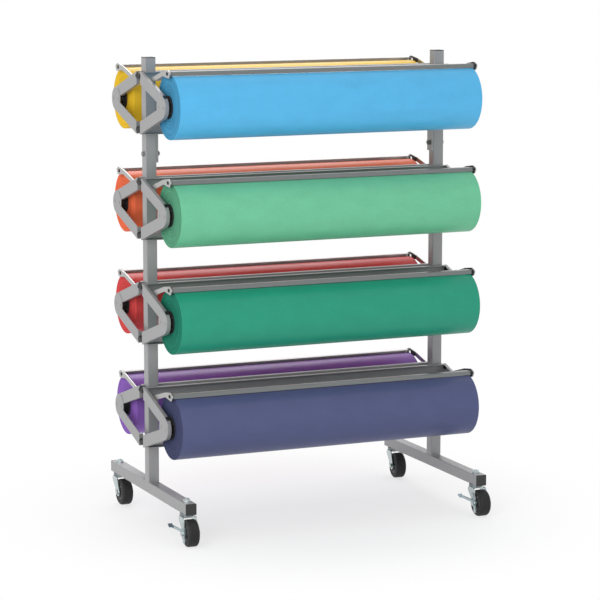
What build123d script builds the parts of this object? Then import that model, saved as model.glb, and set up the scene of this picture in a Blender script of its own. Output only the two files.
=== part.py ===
"""Two-sided mobile rack that carries eight rolls of paper on four tiers.

Frame: X along the rolls, front towards -Y, Z up, origin on the floor midway between the posts.
Each tier holds one front and one rear dispenser. A dispenser is two tie bars with a folded arm pair
at each end, a core plug on each arm pair's spindle, the roll and a cutter that rests on the roll.
"""
from build123d import *
import math
import os

# Rolls of paper, wound on a board core; the rear rolls are a little more used
roll_length = 914.4
front_roll_diameter = 180.0
rear_roll_diameter = 174.0
core_bore = 50.8
core_wall = 4.0
winding_clearance = 0.1

# Tiers
tier_count = 4
lowest_roll_height = 310.0
tier_pitch = 296.5
roll_axis_depth = 183.0

# Square tube of the posts and feet
tube_size = 31.75
tube_wall = 2.0
tube_corner_radius = 2.2
post_top_above_roll = 126.8
foot_length = 618.0
cap_plate = 2.5
cap_insert_depth = 12.0
cap_edge_radius = 1.2
cap_clearance = 0.2

# Splice between each post and its extension
splice_below_roll = 74.0
strap_length = 186.0
strap_edge_margin = 1.0
strap_thickness = 6.0
strap_bolt_margin = 24.0
splice_bolt_diameter = 8.0
splice_head_width = 13.0
splice_head_height = 5.3
splice_nut_height = 6.5
splice_bolt_overhang = 2.0
bolt_hole_clearance = 0.4

# Folded end arms, measured outwards from the roll axis and from the post's face
arm_sheet = 2.0
arm_beyond_roll_end = 23.8
arm_half_height = 87.0
arm_leg_height = 36.0
arm_inner_apex_half_height = 9.0
nose_radius = 33.0
edge_flange_depth = 12.0
inner_flange_depth = 8.0
nose_nesting_clearance = 0.3
notch_start_angle = 86.0
nose_flange_start_angle = 50.0
bend_radius = 1.5

# Tie bars, folded channels between the arm pairs
tie_height = 25.0
tie_depth = 15.0
tie_sheet = 2.0

# Clamp bolts that pull the front and rear dispensers together beside each post
clamp_bolt_from_arm_edge = 12.0
clamp_bolt_diameter = 5.0
clamp_head_width = 8.0
clamp_head_height = 3.5
clamp_nut_height = 4.0
clamp_sleeve_diameter = 17.0
clamp_sleeve_clearance = 0.2
clamp_head_room = 0.3
tie_end_clearance = 0.5

# Nose rivets and the spindle that carries a core plug
rivet_diameter = 5.0
rivet_head_diameter = 8.0
rivet_head_height = 0.8
rivet_offset = 19.0
spindle_diameter = 14.0
spindle_length = 60.0
running_clearance = 0.06

# Core plugs
plug_flange_lip = 3.1
plug_flange_thickness = 3.5
plug_barrel_length = 38.0
plug_barrel_clearance = 0.2
plug_hub_diameter = 34.0
plug_end_play = 3.0
plug_rib_count = 6
plug_rib_thickness = 3.0
plug_rib_height = 5.0
plug_to_roll_gap = 0.3

# Cutters: a folded bar between two flat arms, with a guide at each end of the bar
cutter_sheet = 3.0
cutter_pivot_ahead_of_post = 26.0
cutter_pivot_below_arm_edge = 30.0
cutter_pin_diameter = 6.0
cutter_pin_head_diameter = 10.0
cutter_pin_head_height = 1.8
cutter_eye_radius = 8.0
cutter_arm_width = 13.0
cutter_arm_from_flange = 1.5
cutter_neck_back = 50.0
cutter_neck_rise = 4.0
cutter_head_back = 10.0
cutter_head_rise = 16.5
cutter_head_lead = 11.0
cutter_head_lead_rise = 9.0
cutter_beak_drop = 7.0
cutter_head_corner = 6.0
cutter_guide_thickness = 2.0
cutter_face_ahead_of_axis = 29.0
cutter_bar_height = 11.5
cutter_bar_depth = 17.0
cutter_bar_sheet = 2.0
cutter_rest_gap = 0.3
cutter_slot_length = 17.0
cutter_slot_width = 10.0
cutter_slot_back = 14.0
cutter_slot_rise = 5.0

# Casters
wheel_diameter = 76.0
wheel_top_clearance = 2.0
wheel_width = 31.0
wheel_edge_radius = 6.0
wheel_hub_radius = 24.0
wheel_dish_depth = 3.5
wheel_hub_fit = 0.1
caster_trail = 33.0
stem_inset = 36.0
stem_diameter = 10.0
stem_nut_width = 17.0
stem_nut_height = 6.0
stem_washer_diameter = 22.0
stem_washer_thickness = 1.5
stem_end_length = 2.0
race_diameter = 38.0
race_height = 6.5
fork_sheet = 3.0
fork_top_radius = 20.0
fork_leg_back = 20.0
fork_leg_front = 26.0
fork_leg_corner = 8.0
fork_side_clearance = 2.0
fork_tip_radius = 12.0
swivel_gap = 0.3
axle_diameter = 8.0
axle_head_width = 13.0
axle_head_height = 5.0
caster_headings = {"front_left": -2.0, "front_right": 0.0, "rear_left": 1.0, "rear_right": -5.0}

# Brake levers on the two front casters
lever_sheet = 2.5
lever_eye_radius = 11.0
lever_tongue_reach = 16.0
lever_tongue_rise = 5.0
lever_reach = 26.0
lever_rise = 11.0
lever_spread = 22.0
lever_width = 8.0
lever_tail_length = 26.0
lever_tail_width = 11.0
pad_width = 12.0
pad_length = 13.0
pad_thickness = 4.0

# Places worked out from the sizes above
tube_half = tube_size / 2
roll_radii = {"front": front_roll_diameter / 2, "rear": rear_roll_diameter / 2}
core_radius = core_bore / 2 + core_wall
tier_heights = [lowest_roll_height + tier_pitch * (tier_count - tier) for tier in range(1, tier_count + 1)]
post_top_height = tier_heights[0] + post_top_above_roll
splice_height = tier_heights[0] - splice_below_roll
race_bottom = wheel_diameter + wheel_top_clearance + fork_sheet + swivel_gap
foot_bottom = race_bottom + race_height
foot_top = foot_bottom + tube_size
arm_outer_x = -(roll_length / 2 + arm_beyond_roll_end)
lower_arm_inner_x = arm_outer_x + arm_sheet
upper_arm_inner_x = lower_arm_inner_x + arm_sheet
flange_edge_x = arm_outer_x + edge_flange_depth
cutter_arm_x = flange_edge_x + cutter_arm_from_flange
cutter_guide_x = cutter_arm_x + cutter_sheet
cutter_bar_x = cutter_guide_x + cutter_guide_thickness
clamp_bolt_x = upper_arm_inner_x + clamp_head_room + clamp_head_width / 2
clamp_bolt_height = arm_half_height - clamp_bolt_from_arm_edge
tie_end_x = clamp_bolt_x + clamp_head_width / 2 + tie_end_clearance
post_outer_x = clamp_bolt_x + clamp_sleeve_diameter / 2 + clamp_sleeve_clearance
post_x = -post_outer_x - tube_half
plug_face_x = -(roll_length / 2 + plug_to_roll_gap)
plug_flange_diameter = 2 * (core_radius + plug_flange_lip)
cutter_pivot_reach = tube_half + cutter_pivot_ahead_of_post
cutter_pivot_height = arm_half_height - cutter_pivot_below_arm_edge

os.makedirs("parts", exist_ok=True)


def save(node, pieces):
    """Write the solids of one node to its own file."""
    solids = [solid for piece in pieces for solid in piece.solids()]
    export_step(Compound(solids), f"parts/{node}.step")


def cylinder_along(axis, radius, start, end, across=0.0, up=0.0):
    """Round bar from start to end along X, Y or Z; across and up place its axis."""
    middle = (start + end) / 2
    bar = Cylinder(radius, abs(end - start))
    if axis == "X":
        return Pos(middle, across, up) * (Rot(0, 90, 0) * bar)
    if axis == "Y":
        return Pos(across, middle, up) * (Rot(90, 0, 0) * bar)
    return Pos(across, up, middle) * bar


def hexagon_along(axis, flats, start, end, across=0.0, up=0.0):
    """Hexagon head or nut of the given width across flats, from start to end along X, Y or Z."""
    middle = (start + end) / 2
    outline = RegularPolygon(flats / 2, 6, major_radius=False, rotation=30)
    bar = extrude(outline, amount=abs(end - start) / 2, both=True)
    if axis == "X":
        return Pos(middle, across, up) * (Rot(0, 90, 0) * bar)
    if axis == "Y":
        return Pos(across, middle, up) * (Rot(90, 0, 0) * bar)
    return Pos(across, up, middle) * bar


def end_plate(outline, outer_x, inner_x):
    """Sheet in a plane of constant X; the outline's first axis runs to the front, its second up."""
    plane = Plane(origin=(outer_x, 0, 0), x_dir=(0, -1, 0), z_dir=(-1, 0, 0))
    return extrude(plane * outline, amount=outer_x - inner_x)


def filled(points):
    """Flat face with straight edges through the points."""
    return make_face(Polyline(*points, close=True))


def strip(start, end, thickness):
    """Band along the line from start to end, with its thickness on the line's right."""
    start = Vector(*start)
    end = Vector(*end)
    along = (end - start).normalized()
    aside = Vector(along.Y, -along.X) * thickness
    corners = [start, end, end + aside, start + aside]
    return filled([(corner.X, corner.Y) for corner in corners])


def tube_holes(x, y, z, axis, diameter):
    """Drill that goes right through a tube at the given place."""
    reach = tube_size
    if axis == "X":
        return cylinder_along("X", diameter / 2, x - reach, x + reach, y, z)
    return cylinder_along("Z", diameter / 2, z - reach, z + reach, x, y)


def square_tube(length):
    """Square tube along Z, centred on its own axis, standing on Z = 0."""
    bore = tube_size - 2 * tube_wall
    section = RectangleRounded(tube_size, tube_size, tube_corner_radius)
    section -= RectangleRounded(bore, bore, tube_corner_radius - tube_wall)
    return extrude(section, amount=length)


def tube_cap():
    """Push-in cap on top of a tube that ends at Z = 0."""
    insert = tube_size - 2 * (tube_wall + cap_clearance)
    plate = extrude(RectangleRounded(tube_size, tube_size, tube_corner_radius), amount=cap_plate)
    plate = fillet(plate.faces().sort_by(Axis.Z)[-1].edges(), cap_edge_radius)
    corner = tube_corner_radius - tube_wall
    return plate + extrude(RectangleRounded(insert, insert, corner), amount=-cap_insert_depth)


# Posts stand on the feet; a strap welded inside each extension is bolted through the post below it
strap_bottom = splice_height - strap_length / 2
strap_width = tube_size - 2 * strap_edge_margin
splice_bolt_height = strap_bottom + strap_bolt_margin
splice_hole = splice_bolt_diameter + bolt_hole_clearance
extension_top = post_top_height - cap_plate
caps = []
straps = []
bolts = []
for side, sign in (("left", -1), ("right", 1)):
    post = Pos(sign * post_x, 0, foot_top) * square_tube(splice_height - foot_top)
    extension = Pos(sign * post_x, 0, splice_height) * square_tube(extension_top - splice_height)
    post -= tube_holes(sign * post_x, 0, splice_bolt_height, "X", splice_hole)
    save(f"{side}_post", [post])
    save(f"{side}_post_extension", [extension])
    caps.append(Pos(sign * post_x, 0, extension_top) * tube_cap())

    inner_face = sign * (post_x - tube_half)
    strap_middle = inner_face - sign * strap_thickness / 2
    strap = Pos(strap_middle, 0, splice_height) * Box(strap_thickness, strap_width, strap_length)
    outer_face = sign * (post_x + tube_half)
    strap_face = inner_face - sign * strap_thickness
    straps.append(strap - tube_holes(strap_middle, 0, splice_bolt_height, "X", splice_hole))
    shank_end = strap_face - sign * (splice_nut_height + splice_bolt_overhang)
    head_top = outer_face + sign * splice_head_height
    shank = cylinder_along("X", splice_bolt_diameter / 2, outer_face, shank_end, 0, splice_bolt_height)
    bolts.append(shank + hexagon_along("X", splice_head_width, outer_face, head_top, 0, splice_bolt_height))
    nut_end = strap_face - sign * splice_nut_height
    nut = hexagon_along("X", splice_head_width, strap_face, nut_end, 0, splice_bolt_height)
    bolts.append(nut - tube_holes(strap_face, 0, splice_bolt_height, "X", splice_bolt_diameter))
save("splice_straps", straps)

# Feet lie front to back under the posts, with a hole for a caster stem near each end
stem_y = foot_length / 2 - stem_inset
foot_tube_length = foot_length - 2 * cap_plate
foot_middle = foot_bottom + tube_half
for side, sign in (("left", -1), ("right", 1)):
    lying = Rot(90, 0, 0) * square_tube(foot_tube_length)
    lying = Pos(sign * post_x, foot_tube_length / 2, foot_middle) * lying
    for y in (-stem_y, stem_y):
        lying -= tube_holes(sign * post_x, y, foot_middle, "Z", stem_diameter + bolt_hole_clearance)
    save(f"{side}_foot", [lying])
    for end, turn in ((-1, 90), (1, -90)):
        place = Pos(sign * post_x, end * foot_tube_length / 2, foot_middle)
        caps.append(place * (Rot(turn, 0, 0) * tube_cap()))
save("tube_caps", caps)

# Outline points of the arm pair, from the post's face to the nose around the roll axis
nose = (roll_axis_depth, 0.0)
back = tube_half
slope_reach = math.hypot(roll_axis_depth - back, arm_half_height)
edge_angle = math.asin(nose_radius / slope_reach) - math.atan2(arm_half_height, roll_axis_depth - back)
tangent_angle = math.degrees(edge_angle) + 90
nested_radius = nose_radius - arm_sheet - nose_nesting_clearance


def on_nose(radius, degrees):
    """Point at a radius and angle around the nose centre."""
    turn = math.radians(degrees)
    return (nose[0] + radius * math.cos(turn), nose[1] + radius * math.sin(turn))


def upside_down(point):
    """The same point below the roll axis."""
    return (point[0], -point[1])


back_outer = (back, arm_half_height)
back_inner = (back, arm_half_height - arm_leg_height)
tangent_point = on_nose(nose_radius, tangent_angle)
notch_lead = nose_radius * math.tan(math.radians(notch_start_angle - tangent_angle))
notch_point = (
    tangent_point[0] - notch_lead * math.cos(edge_angle),
    tangent_point[1] - notch_lead * math.sin(edge_angle),
)
back_flange_edges = ((back, back_inner[1] + arm_sheet), (back, arm_half_height - 2 * arm_sheet))


def inner_apex(end_radius):
    """Point where an arm's inner edge meets its round end."""
    height = arm_inner_apex_half_height
    return (roll_axis_depth - math.sqrt(end_radius**2 - height**2), height)


def leg_outline(end_radius):
    """Outline of an upper leg, from the post's face to the nose."""
    return [back_inner, inner_apex(end_radius), nose, tangent_point, back_outer]


def arm_holes(inner_x):
    """Drills for the two nose rivets."""
    start = arm_outer_x - arm_sheet
    far = inner_x + arm_sheet
    drills = []
    for reach in (-rivet_offset, rivet_offset):
        y = -(roll_axis_depth + reach)
        drills.append(cylinder_along("X", rivet_diameter / 2 + running_clearance, start, far, y, 0))
    return drills


def clamp_hole(height):
    """Drill through an arm's back flange for the clamp bolt."""
    radius = (clamp_bolt_diameter + bolt_hole_clearance) / 2
    return cylinder_along("Y", radius, -back - 2 * arm_sheet, -back + arm_sheet, clamp_bolt_x, height)


def bent(arm, shortest_bend):
    """The arm with its long outer edges rounded as bends and its folds trimmed flush with the post's face."""
    behind = Box(roll_length, back, 3 * arm_half_height)
    arm -= Pos(arm_outer_x, back / 2 - back, 0) * behind
    rim = arm.faces().sort_by(Axis.X)[0].outer_wire().edges()
    return fillet([edge for edge in rim if edge.length > shortest_bend], bend_radius)


def upper_arm():
    """Front left upper arm: sheet leg with a round end, folded along its top, inner and back edges."""
    end_disc = Pos(*nose) * Circle(nested_radius)
    leg = filled(leg_outline(nested_radius))
    arm = end_plate(leg + end_disc, lower_arm_inner_x, upper_arm_inner_x)
    arm += end_plate(strip(back_outer, notch_point, arm_sheet), lower_arm_inner_x, flange_edge_x)
    inner_fold = strip(inner_apex(nested_radius), back_inner, arm_sheet)
    arm += end_plate(inner_fold, lower_arm_inner_x, upper_arm_inner_x + inner_flange_depth)
    back_fold = strip(*back_flange_edges, arm_sheet)
    arm += end_plate(back_fold, lower_arm_inner_x, tie_end_x)
    arm = bent(arm, tie_height)
    arm -= arm_holes(upper_arm_inner_x)
    return arm - clamp_hole(clamp_bolt_height)


def lower_arm():
    """Front left lower arm: sheet leg and full nose disc, folded round the nose, under and at the back."""
    disc = Pos(*nose) * Circle(nose_radius)
    leg = [upside_down(point) for point in leg_outline(nose_radius)]
    arm = end_plate(filled(leg) + disc, arm_outer_x, lower_arm_inner_x)
    ring = disc - Pos(*nose) * Circle(nose_radius - arm_sheet)
    far = 2 * nose_radius
    front_edge = [on_nose(far, nose_flange_start_angle), on_nose(far, 0), on_nose(far, -tangent_angle)]
    arm += end_plate(ring & filled([nose] + front_edge), arm_outer_x, flange_edge_x)
    outer_fold = strip(upside_down(tangent_point), upside_down(back_outer), arm_sheet)
    arm += end_plate(outer_fold, arm_outer_x, flange_edge_x)
    ends = [upside_down(point) for point in back_flange_edges]
    arm += end_plate(strip(ends[1], ends[0], arm_sheet), arm_outer_x, tie_end_x)
    arm = bent(arm, tie_height)
    arm -= arm_holes(lower_arm_inner_x)
    return arm - clamp_hole(-clamp_bolt_height)


def tie_bar(middle_height):
    """Channel along X on the post's front face, open to the front."""
    length = -2 * tie_end_x
    outer = Box(length, tie_depth, tie_height)
    outer = fillet(outer.faces().sort_by(Axis.Y)[-1].edges().filter_by(Axis.X), bend_radius)
    outer = Pos(0, -back - tie_depth / 2, middle_height) * outer
    hollow_height = tie_height - 2 * tie_sheet
    hollow = Pos(0, -back - tie_depth / 2 - tie_sheet, middle_height) * Box(length, tie_depth, hollow_height)
    return outer - hollow


def nose_rivet(reach):
    """Rivet through both arms at the nose, with a head on each side."""
    y = -(roll_axis_depth + reach)
    shank = cylinder_along("X", rivet_diameter / 2, arm_outer_x, upper_arm_inner_x, y, 0)
    head = rivet_head_diameter / 2
    outer_head = cylinder_along("X", head, arm_outer_x - rivet_head_height, arm_outer_x, y, 0)
    inner_head = cylinder_along("X", head, upper_arm_inner_x, upper_arm_inner_x + rivet_head_height, y, 0)
    return shank + outer_head + inner_head


def cutter_pin():
    """Pivot pin on the upper arm's inner face, with a shoulder and a head for the cutter's arm."""
    place = (-cutter_pivot_reach, cutter_pivot_height)
    far_end = cutter_guide_x + running_clearance
    head = cutter_pin_head_diameter / 2
    pin = cylinder_along("X", cutter_pin_diameter / 2, upper_arm_inner_x, far_end, *place)
    pin += cylinder_along("X", head, upper_arm_inner_x, cutter_arm_x - running_clearance, *place)
    return pin + cylinder_along("X", head, far_end, far_end + cutter_pin_head_height, *place)


def spindle():
    """Stub axle for a core plug, standing on the nose's inner face."""
    end = upper_arm_inner_x + spindle_length
    return cylinder_along("X", spindle_diameter / 2, upper_arm_inner_x, end, -roll_axis_depth, 0)


def core_plug():
    """Plastic plug: barrel in the core, flange against the roll's end, ribbed hub towards the nose."""
    flange_x = plug_face_x - plug_flange_thickness
    hub_x = upper_arm_inner_x + plug_end_play
    y = -roll_axis_depth
    barrel_radius = core_bore / 2 - plug_barrel_clearance
    plug = cylinder_along("X", barrel_radius, plug_face_x, plug_face_x + plug_barrel_length, y, 0)
    plug += cylinder_along("X", plug_flange_diameter / 2, flange_x, plug_face_x, y, 0)
    plug += cylinder_along("X", plug_hub_diameter / 2, hub_x, flange_x, y, 0)
    rib_length = plug_flange_diameter / 2 - plug_rib_thickness
    for index in range(plug_rib_count):
        rib = Box(plug_rib_height, plug_rib_thickness, rib_length)
        rib = Pos(flange_x - plug_rib_height / 2, 0, rib_length / 2) * rib
        plug += Pos(0, y, 0) * (Rot(360 * index / plug_rib_count, 0, 0) * rib)
    bore = spindle_diameter / 2 + running_clearance
    return plug - cylinder_along("X", bore, hub_x - 1, plug_face_x + plug_barrel_length + 1, y, 0)


def cutter_pieces(roll_radius):
    """Front cutter: folded bar on the roll, a guide at each end and two flat arms to the pivots."""
    inner_ahead = cutter_face_ahead_of_axis - cutter_bar_sheet
    edge_height = math.sqrt((roll_radius + cutter_rest_gap) ** 2 - inner_ahead**2)
    face_reach = roll_axis_depth + cutter_face_ahead_of_axis
    top_height = edge_height + cutter_bar_height
    length = -2 * cutter_bar_x
    face_middle = Pos(0, -face_reach + cutter_bar_sheet / 2, edge_height + cutter_bar_height / 2)
    bar = face_middle * Box(length, cutter_bar_sheet, cutter_bar_height)
    lip_middle = Pos(0, -face_reach + cutter_bar_depth / 2, top_height - cutter_bar_sheet / 2)
    bar += lip_middle * Box(length, cutter_bar_depth, cutter_bar_sheet)
    front_edges = bar.faces().sort_by(Axis.Y)[0].edges().filter_by(Axis.X)
    bar = fillet(front_edges.sort_by(Axis.Z)[-1], bend_radius)

    pivot = (cutter_pivot_reach, cutter_pivot_height)
    neck = (face_reach - cutter_neck_back, edge_height + cutter_neck_rise)
    slant = math.atan2(neck[1] - pivot[1], neck[0] - pivot[0])
    half = cutter_arm_width / 2
    side = (-math.sin(slant) * half, math.cos(slant) * half)
    neck_top = (neck[0] + side[0], neck[1] + side[1])
    neck_under = (neck[0] - side[0], neck[1] - side[1])
    head = filled([
        neck_top,
        (face_reach - cutter_head_back, edge_height + cutter_head_rise),
        (face_reach + cutter_head_lead, edge_height + cutter_head_lead_rise),
        (face_reach, edge_height - cutter_beak_drop),
        neck_under,
    ])
    head = fillet(head.vertices().sort_by(Axis.X)[2:], cutter_head_corner)
    slot = Pos(face_reach - cutter_slot_back, edge_height + cutter_slot_rise)
    head -= slot * SlotOverall(cutter_slot_length, cutter_slot_width)
    stem = filled([
        (pivot[0] + side[0], pivot[1] + side[1]),
        (pivot[0] - side[0], pivot[1] - side[1]),
        neck_under,
        neck_top,
    ])
    outline = stem + head + Pos(*pivot) * Circle(cutter_eye_radius)
    outline -= Pos(*pivot) * Circle(cutter_pin_diameter / 2 + running_clearance)
    left_arm = end_plate(outline, cutter_arm_x, cutter_guide_x)
    left_guide = end_plate(head, cutter_guide_x, cutter_bar_x)
    return [bar] + both_ends(left_arm) + both_ends(left_guide)


def both_ends(piece):
    """A left end piece and its right end twin."""
    return [piece, mirror(piece, about=Plane.YZ)]


def on_row(pieces, row):
    """The pieces as they are for the front row, turned to face back for the rear row."""
    if row == "front":
        return pieces
    return [mirror(piece, about=Plane.XZ) for piece in pieces]


def on_tiers(pieces):
    """One copy of the pieces for each tier."""
    return [Pos(0, 0, height) * piece for height in tier_heights for piece in pieces]


# Arms, tie bars, rivets, pins and spindles are shared nodes; rolls, cores, plugs and cutters are not
winding_radius = core_radius + winding_clearance
core_space = cylinder_along("X", winding_radius, -roll_length, roll_length, -roll_axis_depth, 0)
core = cylinder_along("X", core_radius, -roll_length / 2, roll_length / 2, -roll_axis_depth, 0)
core -= cylinder_along("X", core_bore / 2, -roll_length, roll_length, -roll_axis_depth, 0)
rivets = []
spindles = []
for row in ("front", "rear"):
    save(f"upper_arms_{row}", on_tiers(on_row(both_ends(upper_arm()), row)))
    save(f"lower_arms_{row}", on_tiers(on_row(both_ends(lower_arm()), row)))
    tie_middle = arm_half_height - tie_height / 2
    save(f"tie_bars_{row}", on_tiers(on_row([tie_bar(tie_middle), tie_bar(-tie_middle)], row)))
    fixings = [nose_rivet(-rivet_offset), nose_rivet(rivet_offset), cutter_pin()]
    for fixing in fixings:
        rivets += on_tiers(on_row(both_ends(fixing), row))
    spindles += on_tiers(on_row(both_ends(spindle()), row))
    roll_radius = roll_radii[row]
    paper = cylinder_along("X", roll_radius, -roll_length / 2, roll_length / 2, -roll_axis_depth, 0)
    paper -= core_space
    for tier, height in enumerate(tier_heights, start=1):
        place = Pos(0, 0, height)
        save(f"paper_roll_{row}_{tier}", [place * piece for piece in on_row([paper], row)])
        save(f"roll_core_{row}_{tier}", [place * piece for piece in on_row([core], row)])
        save(f"core_plugs_{row}_{tier}", [place * piece for piece in on_row(both_ends(core_plug()), row)])
        save(f"cutter_{row}_{tier}", [place * piece for piece in on_row(cutter_pieces(roll_radius), row)])
save("arm_rivets", rivets)
save("plug_spindles", spindles)

# Clamp bolts with their nuts and sleeves, beside each post at the top and bottom of every tier
flange_face = back + arm_sheet
for up in (clamp_bolt_height, -clamp_bolt_height):
    tail = flange_face + clamp_nut_height + 2
    bolt = cylinder_along("Y", clamp_bolt_diameter / 2, -flange_face, tail, clamp_bolt_x, up)
    head_end = -flange_face - clamp_head_height
    bolt += hexagon_along("Y", clamp_head_width, head_end, -flange_face, clamp_bolt_x, up)
    nut = hexagon_along("Y", clamp_head_width, flange_face, flange_face + clamp_nut_height, clamp_bolt_x, up)
    nut -= cylinder_along("Y", clamp_bolt_diameter / 2, -foot_length, foot_length, clamp_bolt_x, up)
    sleeve = cylinder_along("Y", clamp_sleeve_diameter / 2, -back, back, clamp_bolt_x, up)
    sleeve_bore = (clamp_bolt_diameter + bolt_hole_clearance) / 2
    sleeve -= cylinder_along("Y", sleeve_bore, -foot_length, foot_length, clamp_bolt_x, up)
    for piece in (bolt, nut, sleeve):
        bolts += on_tiers(both_ends(piece))
save("clamp_bolts", bolts)

# Casters: stem and race on the foot, then a swivelling fork, a wheel and on the front ones a brake
wheel_radius = wheel_diameter / 2
fork_top = race_bottom - swivel_gap
fork_under = fork_top - fork_sheet
fork_inside = wheel_width / 2 + fork_side_clearance
fork_outside = fork_inside + fork_sheet


def caster_stem():
    """Stem on the Z axis with its race under the foot, washer and nut on top, and a head under the fork."""
    end = foot_top + stem_washer_thickness + stem_nut_height + stem_end_length
    head_top = fork_under - swivel_gap
    radius = stem_diameter / 2
    stem = cylinder_along("Z", radius, head_top, end)
    stem += cylinder_along("Z", race_diameter / 2, race_bottom, foot_bottom)
    stem += cylinder_along("Z", stem_diameter * 0.8, head_top - fork_sheet, head_top)
    washer_top = foot_top + stem_washer_thickness
    washer = cylinder_along("Z", stem_washer_diameter / 2, foot_top, washer_top)
    nut = hexagon_along("Z", stem_nut_width, washer_top, washer_top + stem_nut_height)
    drill = cylinder_along("Z", radius, 0, post_top_height)
    return [stem, washer - drill, nut - drill]


def fork():
    """Pressed fork about the Z axis, its legs leading forward to the axle."""
    top = extrude(Pos(0, -fork_outside / 2) * Rectangle(2 * fork_outside, fork_outside), amount=fork_sheet)
    top += extrude(Circle(fork_top_radius), amount=fork_sheet)
    body = Pos(0, 0, fork_under) * top
    leg = filled([
        (-fork_leg_back, fork_top),
        (fork_leg_front, fork_top),
        (caster_trail + fork_tip_radius, wheel_radius),
        (caster_trail - fork_tip_radius, wheel_radius),
    ])
    leg = fillet(leg.vertices().sort_by(Axis.Y)[-2:], fork_leg_corner)
    outline = leg + Pos(caster_trail, wheel_radius) * Circle(fork_tip_radius)
    for outer in (-fork_outside, fork_inside):
        body += end_plate(outline, outer, outer + fork_sheet)
    body -= cylinder_along("Z", stem_diameter / 2 + running_clearance, 0, foot_bottom)
    return body - axle_drill()


def axle_drill():
    """Hole for the axle bolt through both fork legs."""
    radius = axle_diameter / 2 + running_clearance
    return cylinder_along("X", radius, -foot_length, foot_length, -caster_trail, wheel_radius)


def axle_bolt(lever):
    """Axle bolt with its head on the left, over the brake lever where there is one, and its nut."""
    left = -fork_outside
    if lever:
        left -= lever_sheet + 2 * swivel_gap
    place = (-caster_trail, wheel_radius)
    bolt = cylinder_along("X", axle_diameter / 2, left, fork_outside + axle_head_height + 1, *place)
    bolt += hexagon_along("X", axle_head_width, left - axle_head_height, left, *place)
    nut = hexagon_along("X", axle_head_width, fork_outside, fork_outside + axle_head_height, *place)
    return [bolt, nut - cylinder_along("X", axle_diameter / 2, -foot_length, foot_length, *place)]


def wheel():
    """Tyre with rounded shoulders on a dished hub, about the axle."""
    half = wheel_width / 2
    tyre = Cylinder(wheel_radius, wheel_width)
    tyre = fillet(tyre.edges().filter_by(GeomType.CIRCLE), wheel_edge_radius)
    tyre -= Cylinder(wheel_hub_radius + wheel_hub_fit, wheel_width)
    hub = Cylinder(wheel_hub_radius, wheel_width)
    dish = Cylinder(wheel_hub_radius - wheel_dish_depth, wheel_dish_depth)
    dish -= Cylinder(axle_head_width * 0.75, wheel_dish_depth)
    for end in (-1, 1):
        hub -= Pos(0, 0, end * (half - wheel_dish_depth / 2)) * dish
    hub -= Cylinder(axle_diameter / 2 + running_clearance, wheel_width)
    place = Pos(0, -caster_trail, wheel_radius) * Rot(0, 90, 0)
    return [place * tyre, place * hub]


def brake_lever():
    """Pressed lever on the axle bolt outside the left fork leg, its arm bent outwards to a foot pad."""
    axle = (caster_trail, wheel_radius)
    tongue = (axle[0] - lever_tongue_reach, axle[1] + lever_tongue_rise)
    slant = math.atan2(tongue[1] - axle[1], tongue[0] - axle[0])
    half = lever_width / 2
    side = (-math.sin(slant) * half, math.cos(slant) * half)
    outline = filled([
        (axle[0] + side[0], axle[1] + side[1]),
        (axle[0] - side[0], axle[1] - side[1]),
        (tongue[0] - side[0], tongue[1] - side[1]),
        (tongue[0] + side[0], tongue[1] + side[1]),
    ])
    tail_front = axle[0] + lever_eye_radius
    tail_under = axle[1] - lever_tail_length
    outline += filled([
        (tail_front - lever_tail_width, axle[1]),
        (tail_front, axle[1]),
        (tail_front, tail_under),
        (tail_front - lever_tail_width, tail_under),
    ])
    outline += Pos(*axle) * Circle(lever_eye_radius)
    outline -= Pos(*axle) * Circle(axle_diameter / 2 + running_clearance)
    inner = -fork_outside - swivel_gap
    lever = end_plate(outline, inner - lever_sheet, inner)

    root = Vector(inner - lever_sheet / 2, -tongue[0], tongue[1])
    tip = root + Vector(-lever_spread, lever_reach, lever_rise)
    across = Vector(0, -lever_rise, lever_reach)
    bend = Plane(origin=root, x_dir=across, z_dir=tip - root)
    lever += extrude(bend * Rectangle(lever_width, lever_sheet), amount=(tip - root).length)
    pad_turn = math.degrees(math.atan2(lever_rise, lever_reach))
    pad = Rot(pad_turn, 0, 0) * Box(pad_width, pad_length, pad_thickness)
    return lever + Pos(tip) * pad


stems = []
for corner, heading in caster_headings.items():
    row, side = corner.split("_")
    x = post_x if side == "right" else -post_x
    y = stem_y if row == "rear" else -stem_y
    stems += [Pos(x, y, 0) * piece for piece in caster_stem()]
    place = Pos(x, y, 0) * Rot(0, 0, heading)
    braked = row == "front"
    save(f"caster_fork_{corner}", [place * piece for piece in [fork()] + axle_bolt(braked)])
    save(f"caster_wheel_{corner}", [place * piece for piece in wheel()])
    if braked:
        save(f"brake_lever_{corner}", [place * brake_lever()])
save("caster_stems", stems)
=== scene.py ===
import math

import bpy
import numpy as np
from mathutils import Matrix, Vector


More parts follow.
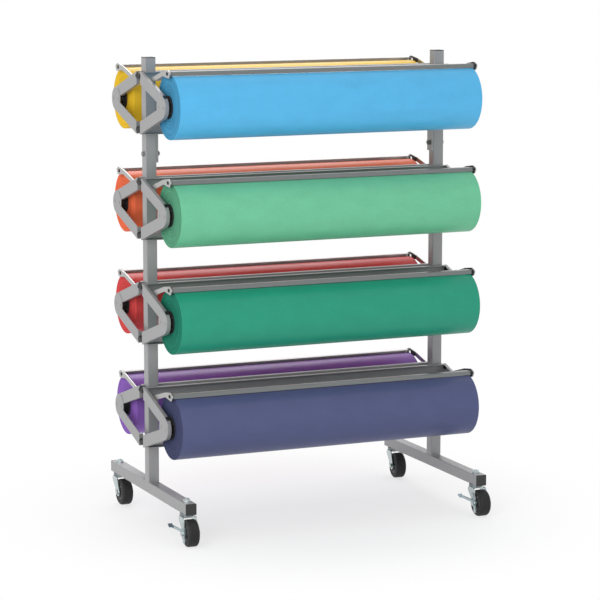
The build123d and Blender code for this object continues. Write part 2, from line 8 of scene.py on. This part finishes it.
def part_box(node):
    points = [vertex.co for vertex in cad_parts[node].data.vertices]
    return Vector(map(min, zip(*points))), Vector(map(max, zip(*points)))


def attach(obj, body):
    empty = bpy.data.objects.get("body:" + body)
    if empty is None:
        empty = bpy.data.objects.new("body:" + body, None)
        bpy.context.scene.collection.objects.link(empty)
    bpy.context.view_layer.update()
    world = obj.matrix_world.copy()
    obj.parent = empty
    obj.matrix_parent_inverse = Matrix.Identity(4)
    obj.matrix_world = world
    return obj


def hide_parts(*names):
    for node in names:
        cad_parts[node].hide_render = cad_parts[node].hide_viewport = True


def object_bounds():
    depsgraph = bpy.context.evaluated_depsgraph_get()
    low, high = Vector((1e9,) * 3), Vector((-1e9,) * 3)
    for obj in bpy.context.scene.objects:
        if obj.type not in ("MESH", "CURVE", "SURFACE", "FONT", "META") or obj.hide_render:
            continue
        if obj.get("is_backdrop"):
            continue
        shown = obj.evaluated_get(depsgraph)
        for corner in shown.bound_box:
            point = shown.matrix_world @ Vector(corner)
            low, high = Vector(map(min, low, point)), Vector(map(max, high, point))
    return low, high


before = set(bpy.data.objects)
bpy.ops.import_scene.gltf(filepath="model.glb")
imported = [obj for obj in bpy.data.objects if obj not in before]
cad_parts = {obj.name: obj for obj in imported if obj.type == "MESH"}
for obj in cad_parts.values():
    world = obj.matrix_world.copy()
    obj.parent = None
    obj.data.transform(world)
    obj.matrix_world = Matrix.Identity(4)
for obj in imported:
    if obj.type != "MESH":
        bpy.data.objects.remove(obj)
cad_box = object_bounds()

# Feet, posts, arms and tie bars: square steel tube and folded sheet, welded or clamped together.
# All of it is powder coated in one silver grey, a little grainy, with faint scuffs from handling.
class Lead:
    """One shader socket: operators on it add Math nodes, and node() adds any other node."""

    def __init__(self, tree, socket=None):
        self.tree = tree
        self.socket = socket

    def node(self, kind, settings=(), values=(), give=0):
        """New node of a kind, its settings made first, then its sockets given values or links."""
        made = self.tree.nodes.new("ShaderNode" + kind)
        for name, setting in dict(settings).items():
            if name == "stops":
                for element, (place, tone) in zip(made.color_ramp.elements, setting):
                    element.position = place
                    element.color = (tone, tone, tone, 1)
            else:
                setattr(made, name, setting)
        for name, value in dict(values).items():
            if isinstance(value, Lead):
                self.tree.links.new(value.socket, made.inputs[name])
            else:
                made.inputs[name].default_value = value
        return Lead(self.tree, made.outputs[give] if len(made.outputs) else None)

    def output(self, name):
        """Another output of the node that this socket belongs to."""
        return Lead(self.tree, self.socket.node.outputs[name])

    def maths(self, operation, *values):
        """Math node on one or two values."""
        return self.node("Math", {"operation": operation}, dict(enumerate(values)))

    def __add__(self, other):
        return self.maths("ADD", self, other)

    def __sub__(self, other):
        return self.maths("SUBTRACT", self, other)

    def __rsub__(self, other):
        return self.maths("SUBTRACT", other, self)

    def __mul__(self, other):
        return self.maths("MULTIPLY", self, other)

    def __lt__(self, other):
        return self.maths("LESS_THAN", self, other)

    def __gt__(self, other):
        return self.maths("GREATER_THAN", self, other)

    def __abs__(self):
        return self.maths("ABSOLUTE", self)

    __radd__ = __add__
    __rmul__ = __mul__


def blank_finish(name):
    """Empty material, with a lead to start its nodes from."""
    material = bpy.data.materials.new(name)
    material.use_nodes = True
    material.node_tree.nodes.clear()
    return material, Lead(material.node_tree)


def surface(start, values):
    """Principled surface with the given socket values, put on the material's output."""
    shader = start.node("BsdfPrincipled", {}, values)
    start.node("OutputMaterial", {}, {"Surface": shader})


def grain(start, scale, detail=2.0, stretch=(1.0, 1.0, 1.0)):
    """Noise from 0 to 1 on Object coordinates, in grains per metre times an axis's share in stretch."""
    place = start.node("TexCoord", {}, {}, "Object")
    place = start.node("Mapping", {}, {"Vector": place, "Scale": stretch})
    return start.node("TexNoise", {}, {"Vector": place, "Scale": scale, "Detail": detail})


def spread(noise, reach):
    """Noise moved to lie about zero, half its reach to each side."""
    return (noise - 0.5) * reach


def rgba(colour):
    """Colour as a socket takes it: a lead as it is, and red, green and blue with a full alpha."""
    return colour if isinstance(colour, Lead) else (*colour, 1)


def toned(start, colour, tone):
    """Colour multiplied by a grey tone."""
    settings = {"data_type": "RGBA", "blend_type": "MULTIPLY"}
    return start.node("Mix", settings, {0: 1.0, 6: rgba(colour), 7: tone}, 2)


def relief(start, height, depth, strength):
    """Bump of a height from 0 to 1 that is depth metres deep."""
    return start.node("Bump", {}, {"Height": height, "Distance": depth, "Strength": strength}, "Normal")


def dress(nodes, finish):
    """Gives CAD nodes a finish in their own material slots."""
    for name in nodes:
        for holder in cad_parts[name].material_slots:
            holder.material = finish


grey_paint, start = blank_finish("grey_paint")
peel = grain(start, 700, 3)
cloud = grain(start, 7, 5)
scratch = grain(start, 60, 6, (0.15, 0.6, 1))
scuff = start.node("ValToRGB", {"stops": ((0.62, 0), (0.72, 1))}, {0: scratch})
tone = 0.93 + spread(peel, 0.16) + spread(cloud, 0.12) + scuff * 0.02
surface(start, {
    "Base Color": toned(start, (0.36, 0.36, 0.365), tone),
    "Metallic": 0.35,
    "Roughness": 0.38 + spread(cloud, 0.16) - scuff * 0.02 + spread(peel, 0.1),
    "Normal": relief(start, peel, 0.0002, 0.35),
})
tubes = [f"{side}_{tube}" for side in ("left", "right") for tube in ("post", "post_extension", "foot")]
folded = ("upper_arms", "lower_arms", "tie_bars")
sheets = [f"{sheet}_{row}" for sheet in folded for row in ("front", "rear")]
dress(tubes + sheets + ["splice_straps", "arm_rivets"], grey_paint)

# Weld beads along the front and back of each post's base, where it stands on the foot.
# Small fillets of weld metal in overlapping ripples, painted over with the rest.
bead_radius, ripple_height, ripple_count = 0.0022, 0.0004, 9
bead_margin = 0.003
bead_steps, bead_sides = 61, 14


def shell(name, grid, body, finish, loop_rows=False, uv=None):
    """One piece from a grid of points whose columns close into rings.

    Each face joins four neighbours. Rows close too, or the first and last ring are filled. Faces are
    turned to give the piece a positive volume, so they point outwards.
    """
    rows, columns = grid.shape[:2]
    index = np.arange(rows * columns).reshape(rows, columns)
    ends = [] if loop_rows else [index[0, ::-1], index[-1]]
    if loop_rows:
        index = np.vstack([index, index[:1]])
    index = np.hstack([index, index[:, :1]])
    faces = np.stack([index[:-1, :-1], index[:-1, 1:], index[1:, 1:], index[1:, :-1]], -1).reshape(-1, 4)
    points = grid.reshape(-1, 3)
    one, two, three, four = (points[faces[:, corner]] for corner in range(4))
    volume = np.sum(one * np.cross(two, three)) + np.sum(one * np.cross(three, four))
    if volume < 0:
        faces = faces[:, ::-1]
        ends = [end[::-1] for end in ends]
    mesh = bpy.data.meshes.new(name)
    mesh.from_pydata(points.tolist(), [], faces.tolist() + [end.tolist() for end in ends])
    mesh.polygons.foreach_set("use_smooth", np.ones(len(mesh.polygons), bool))
    if uv is not None:
        layer = mesh.uv_layers.new(name="winding")
        layer.data.foreach_set("uv", uv.reshape(-1, 2)[faces.ravel()].ravel())
    mesh.materials.append(finish)
    piece = bpy.data.objects.new(name, mesh)
    bpy.context.scene.collection.objects.link(piece)
    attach(piece, body)
    return piece


def weld_bead(start_x, end_x, y, z):
    """Round bead along X: a ring whose radius swells in ripples and draws in at both ends."""
    along = np.linspace(0, 1, bead_steps)
    turn = np.linspace(0, 2 * np.pi, bead_sides, endpoint=False)
    along, turn = np.meshgrid(along, turn, indexing="ij")
    swell = bead_radius + ripple_height * np.abs(np.sin(along * np.pi * ripple_count))
    radius = swell * np.clip(1 - (2 * along - 1) ** 16, 0.05, 1)
    x = start_x + (end_x - start_x) * along
    return np.stack([x, y + radius * np.cos(turn), z + radius * np.sin(turn)], -1)


for side in ("left", "right"):
    low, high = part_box(f"{side}_post")
    for row, y in (("front", low.y), ("rear", high.y)):
        bead = weld_bead(low.x + bead_margin, high.x - bead_margin, y, low.z)
        shell(f"{side}_{row}_weld_bead", bead, "frame", grey_paint)

# Caps pushed into the open ends of the tubes.
# Moulded from black plastic with a fine matt texture.
black_plastic, start = blank_finish("black_plastic")
texture = grain(start, 1400, 2)
cloud = grain(start, 20, 4)
surface(start, {
    "Base Color": toned(start, (0.025, 0.025, 0.026), 0.85 + cloud * 0.3),
    "Roughness": 0.42 + spread(texture, 0.2) + spread(cloud, 0.1),
    "Normal": relief(start, texture, 0.0001, 0.5),
})
dress(["tube_caps"], black_plastic)

# Clamp bolts with their sleeves, beside the posts, and a splice bolt through each post and its strap.
# Turned and headed steel with a black oxide skin, worn a little bright; the splice bolts are painted grey.
splice_bolt_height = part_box("splice_straps")[0].z + 0.024
splice_bolt_reach = 0.012


def blended(start, share, first, second):
    """Mix of two colours by a share from 0 to 1."""
    return start.node("Mix", {"data_type": "RGBA"}, {0: share, 6: rgba(first), 7: rgba(second)}, 2)


def coordinate(start, axis):
    """One Object coordinate of a point: metres along X, Y or Z in the rack's own frame."""
    place = start.node("TexCoord", {}, {}, "Object")
    return start.node("SeparateXYZ", {}, {0: place}, axis)


dark_steel, start = blank_finish("dark_steel")
wear = start.node("ValToRGB", {"stops": ((0.55, 0), (0.75, 1))}, {0: grain(start, 130, 5)})
painted = abs(coordinate(start, "Z") - splice_bolt_height) < splice_bolt_reach
oxide = blended(start, wear, (0.010, 0.010, 0.011), (0.05, 0.05, 0.052))
surface(start, {
    "Base Color": blended(start, painted, oxide, (0.26, 0.26, 0.26)),
    "Metallic": 0.4,
    "Roughness": 0.5 - wear * 0.1,
    "Specular IOR Level": 0.3,
})
dress(["clamp_bolts"], dark_steel)

# Spindles on the noses, caster forks and axle bolts: steel, pressed or turned.
# Bright zinc plate with a faint blue cast, cloudy and slightly uneven.
zinc_plate, start = blank_finish("zinc_plate")
cloud = grain(start, 45, 4)
fine = grain(start, 600, 2)
surface(start, {
    "Base Color": blended(start, cloud, (0.42, 0.52, 0.54), (0.62, 0.64, 0.62)),
    "Metallic": 1.0,
    "Roughness": 0.24 + spread(cloud, 0.18) + spread(fine, 0.08),
    "Normal": relief(start, fine, 0.0001, 0.25),
})
corners = [f"{row}_{side}" for row in ("front", "rear") for side in ("left", "right")]
dress(["plug_spindles"] + [f"caster_fork_{corner}" for corner in corners], zinc_plate)

# Caster stems, each through the foot with a washer and nut on top and a swivel race below.
# Turned steel, zinc plated above the foot; the race below it is coloured a little darker, as painted shade
# under the foot.
stem_steel, start = blank_finish("stem_steel")
cloud = grain(start, 60, 4)
# Below the foot's underside: the race, whose darker colour is painted shade cast by the foot.
race_with_painted_shade = coordinate(start, "Z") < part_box("left_foot")[0].z
plate = blended(start, cloud, (0.42, 0.50, 0.52), (0.62, 0.64, 0.62))
surface(start, {
    "Base Color": blended(start, race_with_painted_shade, plate, (0.24, 0.27, 0.28)),
    "Metallic": 1 - race_with_painted_shade * 0.1,
    "Roughness": 0.26 + spread(cloud, 0.18) + race_with_painted_shade * 0.08,
})
dress(["caster_stems"], stem_steel)

# Caster wheels: a tyre with rounded shoulders on a ribbed hub.
# Tyre of dark rubber, dusty on the tread; hub moulded in hard black plastic with shallow pockets.
# The front right wheel stands square to the rack, so its box gives a wheel's radius and width.
low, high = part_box("caster_wheel_front_right")
wheel_radius = (high.z - low.z) / 2
wheel_half = (high.x - low.x) / 2
swivel = {"front_left": -2.0, "front_right": 0.0, "rear_left": 1.0, "rear_right": -5.0}
shoulder_radius = 0.006
groove_place, groove_width, groove_depth = 0.0045, 0.0006, 0.0008
hub_radius, hub_chamfer, boss_radius, bore_radius = 0.024, 0.0012, 0.0088, 0.0042
spoke_count = 5
pocket_middle, pocket_half, pocket_depth = 0.0155, 0.0045, 0.003
wheel_steps = 90

wheel_rubber, start = blank_finish("wheel_rubber")
dust = grain(start, 90, 5)
fine = grain(start, 900, 2)
surface(start, {
    "Base Color": blended(start, dust * 0.5, (0.014, 0.014, 0.015), (0.045, 0.044, 0.043)),
    "Roughness": 0.55 + spread(dust, 0.2),
    "Specular IOR Level": 0.25,
    "Normal": relief(start, fine, 0.0001, 0.4),
})


def turned_about_axle(profile, corner, dent=0.0):
    """Closed profile of (along axle, radius) carried round a caster's axle, which swivels about Z.

    The end faces are pressed in by dent between the spokes, over the middle of the hub's radius.
    """
    low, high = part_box(f"caster_wheel_{corner}")
    middle = (low + high) / 2
    turn = np.linspace(0, 2 * np.pi, wheel_steps, endpoint=False)
    along, radius = profile[:, :1], profile[:, 1:]
    between_spokes = np.clip(np.cos(spoke_count * turn) * 1.5 + 0.6, 0, 1)
    in_pocket = np.clip(1 - ((radius - pocket_middle) / pocket_half) ** 4, 0, 1)
    along = along - np.sign(along) * dent * in_pocket * between_spokes
    y = radius * np.cos(turn)
    z = wheel_radius + radius * np.sin(turn)
    heading = math.radians(swivel[corner])
    return np.stack([
        middle.x + along * math.cos(heading) - y * math.sin(heading),
        middle.y + along * math.sin(heading) + y * math.cos(heading),
        z,
    ], -1)


def both_sides(half):
    """Half of a profile, then its mirror image in reverse order."""
    return np.concatenate([half, (half * (-1, 1))[::-1]])


shoulder = np.linspace(0, np.pi / 2, 9)
shoulder_along = wheel_half - shoulder_radius * (1 - np.sin(shoulder))
shoulder_out = wheel_radius - shoulder_radius * (1 - np.cos(shoulder))
tread_half = wheel_half - shoulder_radius
tread = np.linspace(-tread_half, tread_half, 63)[1:-1]
groove = groove_depth * np.exp(-(((np.abs(tread) - groove_place) / groove_width) ** 2))
# Down the side of the tyre, as radius and depth: a shallow ring, then the lip over the hub.
side_radius, side_depth = np.array([
    (0.0310, 0), (0.0303, 0.0001), (0.0296, 0.0007), (0.0282, 0.0007), (0.0275, 0.0001), (0.0268, 0),
    (hub_radius + 0.0008, 0), (hub_radius + 0.0001, 0.0008),
]).T
tyre_half = np.concatenate([
    np.stack([shoulder_along, shoulder_out], -1),
    np.stack([wheel_half - side_depth, side_radius], -1),
])
tyre_profile = np.concatenate([np.stack([tread, wheel_radius - groove], -1), both_sides(tyre_half)])
hub_rim = [(wheel_half - hub_chamfer, hub_radius), (wheel_half - 0.0002, hub_radius - hub_chamfer / 2)]
hub_face = np.linspace(hub_radius - hub_chamfer, boss_radius + 0.0007, 22)
hub_face = np.concatenate([hub_face, [boss_radius, bore_radius]])
hub_face = np.stack([np.full(len(hub_face), wheel_half), hub_face], -1)
hub_profile = both_sides(np.concatenate([hub_rim, hub_face]))
for corner in corners:
    tyre = shell(
        f"tyre_{corner}", turned_about_axle(tyre_profile, corner), f"wheel_{corner}",
        wheel_rubber, loop_rows=True)
    hub = shell(
        f"hub_{corner}", turned_about_axle(hub_profile, corner, pocket_depth), f"wheel_{corner}",
        black_plastic, loop_rows=True)
    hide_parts(f"caster_wheel_{corner}")
    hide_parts(f"caster_wheel_{corner}")

# Brake levers on the two front casters.
# Pressed steel, zinc plated, with a grip dipped on the foot pad, dark on the left and worn pale on
# the right.
grip_colours = {"front_left": (0.10, 0.14, 0.17), "front_right": (0.45, 0.55, 0.58)}
pad_inset = Vector((0.007, 0.008, 0.006))
grip_radius, grip_edge = 0.0096, 0.0112
for corner, grip_colour in grip_colours.items():
    lever_finish, start = blank_finish(f"lever_{corner}")
    low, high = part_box(f"brake_lever_{corner}")
    place = start.node("TexCoord", {}, {}, "Object")
    pad_middle = (low.x + pad_inset.x, high.y - pad_inset.y, high.z - pad_inset.z)
    away = start.node("VectorMath", {"operation": "DISTANCE"}, {0: place, 1: pad_middle}, "Value")
    grip = start.node("MapRange", {}, {0: away, 1: grip_radius, 2: grip_edge, 3: 1.0, 4: 0.0})
    cloud = grain(start, 60, 4)
    plate = blended(start, cloud, (0.36, 0.47, 0.50), (0.55, 0.60, 0.60))
    surface(start, {
        "Base Color": blended(start, grip, plate, grip_colour),
        "Metallic": 1 - grip,
        "Roughness": 0.28 + grip * 0.25 + spread(cloud, 0.15),
    })
    dress([f"brake_lever_{corner}"], lever_finish)

# Cores of the rolls, wound from brown board in a spiral.
# Plain kraft board, fibrous along its length.
cardboard, start = blank_finish("cardboard")
fibre = grain(start, 300, 4, (0.2, 1, 1))
surface(start, {
    "Base Color": toned(start, (0.36, 0.25, 0.15), 0.8 + fibre * 0.4),
    "Roughness": 0.85 + spread(fibre, 0.2),
    "Normal": relief(start, fibre, 0.0002, 0.5),
})
tiers = [(row, tier) for row in ("front", "rear") for tier in (1, 2, 3, 4)]
dress([f"roll_core_{row}_{tier}" for row, tier in tiers], cardboard)

# Core plugs, pushed into both ends of each core and turning on the spindles.
# Moulded from the same black plastic as the caps.
dress([f"core_plugs_{row}_{tier}" for row, tier in tiers], black_plastic)

# Rolls of coloured paper, wound in many turns on the cores, with a free outer edge under the cutter.
# Dyed paper with a faint sheen, mottled along the roll, and its turns showing as rings on the dull ends,
# which are also
#  darkened as painted shade, much more on the front row than the rear.
winding_radius = 0.0295
sheet_step = 0.0004
rim_inset, side_inset = 0.0008, 0.003
end_inset, end_creep = 0.00055, 0.00018
end_rings, side_rings, roll_steps = 64, 31, 145
uv_scale = 10
rings_per_metre = 500
free_edge = {"front": math.radians(108), "rear": math.radians(72)}
# Painted shade on the ends of the rolls, as a darkening of their colour, much stronger on the front row.
end_painted_shade = {"front": 0.42, "rear": 0.06}
paper_colours = {
    ("front", 1): ("paper_sky_blue", (0.098, 0.475, 0.815)),
    ("front", 2): ("paper_light_green", (0.160, 0.550, 0.325)),
    ("front", 3): ("paper_emerald", (0.020, 0.315, 0.200)),
    ("front", 4): ("paper_navy", (0.084, 0.098, 0.215)),
    ("rear", 1): ("paper_yellow", (0.870, 0.545, 0.026)),
    ("rear", 2): ("paper_orange", (0.890, 0.165, 0.068)),
    ("rear", 3): ("paper_red", (0.700, 0.069, 0.069)),
    ("rear", 4): ("paper_purple", (0.275, 0.125, 0.508)),
}


def wound_paper(low, high, edge_turn, seed):
    """Closed profile of (along, radius) carried round the axis of a roll with these corners.

    The radius falls by one sheet's step over a full turn from the free edge, as a spiral does. The end
    faces stand in and out by a fraction of a millimetre along their radius, a sum of sines, as the
    turns of a wound roll do. The UV map holds the radius times its scale, and 1 on the ends, else 0.
    """
    middle = (low + high) / 2
    half = (high.x - low.x) / 2
    roll_radius = (high.z - low.z) / 2
    ring = np.linspace(winding_radius, roll_radius - rim_inset, end_rings)
    waves = np.sin(ring * 900 + seed) + np.sin(ring * 2100 + 2 * seed) + 0.6 * np.sin(ring * 4300)
    end_along = half - end_inset + end_creep * waves
    rim_along = half - np.array([0.0006, 0.0009, 0.0014])
    rim_radius = roll_radius - np.array([0.0003, 0.0001, 0.0])
    side = np.linspace(-half + side_inset, half - side_inset, side_rings)
    side_radius = np.full(side_rings, roll_radius)
    along = np.concatenate([-end_along, -rim_along, side, rim_along[::-1], end_along[::-1]])
    radius = np.concatenate([ring, rim_radius, side_radius, rim_radius[::-1], ring[::-1]])[:, None]
    share = np.linspace(0, 1, roll_steps)
    turn = edge_turn + 2 * np.pi * share
    wound = radius - sheet_step * share * (radius / roll_radius) ** 2
    x = np.broadcast_to(along[:, None], wound.shape)
    grid = np.stack([x, middle.y + wound * np.cos(turn), middle.z + wound * np.sin(turn)], -1)
    on_end = np.ones(wound.shape)
    on_end[end_rings:-end_rings] = 0
    uv = np.stack([np.broadcast_to(radius * uv_scale, wound.shape), on_end], -1)
    return grid, uv


for row, tier in tiers:
    slot_name, colour = paper_colours[row, tier]
    paper, start = blank_finish(slot_name)
    winding = start.node("SeparateXYZ", {}, {0: start.node("UVMap", {"uv_map": "winding"})})
    on_end = winding.output("Y")
    ring_place = winding * (rings_per_metre / uv_scale)
    rings = start.node(
        "TexNoise", {"noise_dimensions": "1D"}, {"W": ring_place, "Scale": 1.0, "Detail": 3.0})
    fibre = grain(start, 420, 4, (0.35, 1, 1))
    mottle = grain(start, 26, 5, (0.6, 1, 1))
    # The ends get painted shade, plus the real rings of the turns.
    end_painted_shade_and_rings = on_end * (end_painted_shade[row] + spread(rings, 1.2))
    surface(start, {
        "Base Color": toned(start, colour, 1.0 + spread(fibre, 0.16) + spread(mottle, 0.20) - end_painted_shade_and_rings),
        "Roughness": 0.5 + spread(fibre, 0.12) + on_end * 0.3,
        "Specular IOR Level": 0.12,
        "Coat Weight": 0.3 - on_end * 0.3,
        "Coat Roughness": 0.25,
        "Normal": relief(start, fibre * (1 - on_end) + rings * on_end * 2, 0.00015, 0.3),
    })
    low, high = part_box(f"paper_roll_{row}_{tier}")
    seed = 1.3 * tier + (0.7 if row == "rear" else 0)
    grid, uv = wound_paper(low, high, free_edge[row], seed)
    roll = shell(
        f"wound_paper_{row}_{tier}", grid, f"roll_{row}_{tier}",
        paper, loop_rows=True, uv=uv)
    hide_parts(f"paper_roll_{row}_{tier}")

# Cutters, one resting on each roll: a folded bar between two flat arms that turn on pins.
# The bars are plain steel, ground along their length, so they mirror the paper softly; the same steel is
# coloured dark on the front row and pale on the rear row, as painted reflection and shade. The arms are
# plated. The last two millimetres of each bar, inside the arm, are coloured near black and matt, as
# painted shade in the gap between bar and arm.
arm_thickness, shade_band_width = 0.003, 0.002
# A face that lies on a boundary counts as past it, by a hair.
hair = 0.0001
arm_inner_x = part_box("cutter_front_1")[1].x - arm_thickness
shade_band_start = arm_inner_x - shade_band_width
# Painted light: the front row's bars are darkened and the rear row's lightened, as painted reflection and
# shade on one steel.
bar_tones_painted_light = {"front": (0.20, 0.215, 0.215), "rear": (0.55, 0.53, 0.52)}
for row, bar_tone_painted_light in bar_tones_painted_light.items():
    cutter_steel, start = blank_finish(f"cutter_steel_{row}")
    brushed = grain(start, 500, 3, (0.02, 1, 1))
    cloud = grain(start, 9, 4)
    from_middle = abs(coordinate(start, "X"))
    on_arm = from_middle > arm_inner_x - hair
    # A 2 mm band at each bar end, against the arm, is coloured near black and matt: painted shade for the
    # gap between bar and arm.
    on_painted_shade_band = (from_middle > shade_band_start - hair) - on_arm
    plain = blended(start, on_arm, bar_tone_painted_light, (0.44, 0.44, 0.43))
    steel = toned(start, plain, 0.88 + brushed * 0.2 + spread(cloud, 0.1))
    surface(start, {
        "Base Color": blended(start, on_painted_shade_band, steel, (0.02, 0.02, 0.021)),
        "Metallic": 0.9 - on_painted_shade_band * 0.9,
        "Roughness": 0.30 + spread(brushed, 0.15) + spread(cloud, 0.1) + on_painted_shade_band * 0.15,
        "Normal": relief(start, brushed, 0.0001, 0.3),
    })
    dress([f"cutter_{row}_{tier}" for tier in (1, 2, 3, 4)], cutter_steel)

# Pale studio floor under the rack.
# Matt, with a faint shadow close to the rack, and shown as white further away.
floor_half = 30
shadow_radius, white_radius = 0.35, 1.0
least_white = 0.62
white = (1, 1, 1, 1)


def seen_directly(start):
    """1 for what the camera sees, straight or in a mirror or through glass, and 0 for other light."""
    rays = start.node("LightPath")
    seen = [rays.output(f"Is {kind} Ray") for kind in ("Camera", "Glossy", "Transmission")]
    return start.maths("MINIMUM", seen[0] + seen[1] + seen[2], 1.0)


floor_corners = [(x * floor_half, y * floor_half, 0) for x, y in ((-1, -1), (1, -1), (1, 1), (-1, 1))]
floor_mesh = bpy.data.meshes.new("floor")
floor_mesh.from_pydata(floor_corners, [], [(0, 1, 2, 3)])
floor = bpy.data.objects.new("floor", floor_mesh)
bpy.context.scene.collection.objects.link(floor)
floor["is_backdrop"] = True
pale_floor, start = blank_finish("pale_floor")
place = start.node("TexCoord", {}, {}, "Object")
away = start.node("VectorMath", {"operation": "LENGTH"}, {0: place}, "Value")
fade = start.node(
    "MapRange", {"interpolation_type": "SMOOTHSTEP"},
    {0: away, 1: shadow_radius, 2: white_radius, 3: least_white, 4: 1.0})
matt = start.node("BsdfDiffuse", {}, {"Color": (0.93, 0.93, 0.93, 1)})
glow = start.node("Emission", {}, {"Color": white, "Strength": 1.0})
shader = start.node("MixShader", {}, {0: fade * seen_directly(start), 1: matt, 2: glow})
start.node("OutputMaterial", {}, {"Surface": shader})
floor_mesh.materials.append(pale_floor)

# Light: a white surround, dimmer as a light than it looks, and two soft lamps.
# The key lamp stands to the left of the camera, and the back lamp high behind the rack.
world = bpy.data.worlds.new("studio")
bpy.context.scene.world = world
world.use_nodes = True
world.node_tree.nodes.clear()
start = Lead(world.node_tree)
surround = start.node("Background", {}, {"Color": white, "Strength": 0.72})
backdrop = start.node("Background", {}, {"Color": white, "Strength": 1.0})
sky = start.node("MixShader", {}, {0: seen_directly(start), 1: surround, 2: backdrop})
start.node("OutputWorld", {}, {"Surface": sky})


def facing(direction):
    """Turn of a lamp or camera that makes it face a direction, upright."""
    return direction.to_track_quat("-Z", "Y").to_matrix().to_4x4()


def soft_lamp(name, place, aim, size, power):
    """Square lamp at a place, turned to face the aim."""
    lamp = bpy.data.lights.new(name, "AREA")
    lamp.size = size
    lamp.energy = power
    holder = bpy.data.objects.new(name, lamp)
    holder.matrix_world = Matrix.Translation(place) @ facing(Vector(aim) - Vector(place))
    bpy.context.scene.collection.objects.link(holder)


soft_lamp("key_lamp", (-3.6, -3.4, 2.6), (0, 0, 0.7), 2.6, 90)
soft_lamp("back_lamp", (0.8, 3.2, 3.5), (0, 0.2, 0.8), 2.6, 55)

# Camera, to the left of the front and a little above the top tier.
# A long lens from about seven metres away, turned and tilted by the angles given in radians.
camera_place = (-2.880, -6.625, 1.7344)
yaw, pitch = 0.4116, 0.1538
camera_lens = bpy.data.cameras.new("camera")
camera_lens.sensor_width = 36.0
camera_lens.lens = 151.6
camera_lens.clip_end = 60
camera = bpy.data.objects.new("camera", camera_lens)
look = Vector((math.sin(yaw) * math.cos(pitch), math.cos(yaw) * math.cos(pitch), -math.sin(pitch)))
camera.matrix_world = Matrix.Translation(camera_place) @ facing(look)
bpy.context.scene.collection.objects.link(camera)
bpy.context.scene.camera = camera
bpy.context.scene.view_settings.view_transform = "Standard"

boxes = {"cad": cad_box, "visual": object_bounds()}
boxes = {name: [list(map(float, corner)) for corner in pair] for name, pair in boxes.items()}
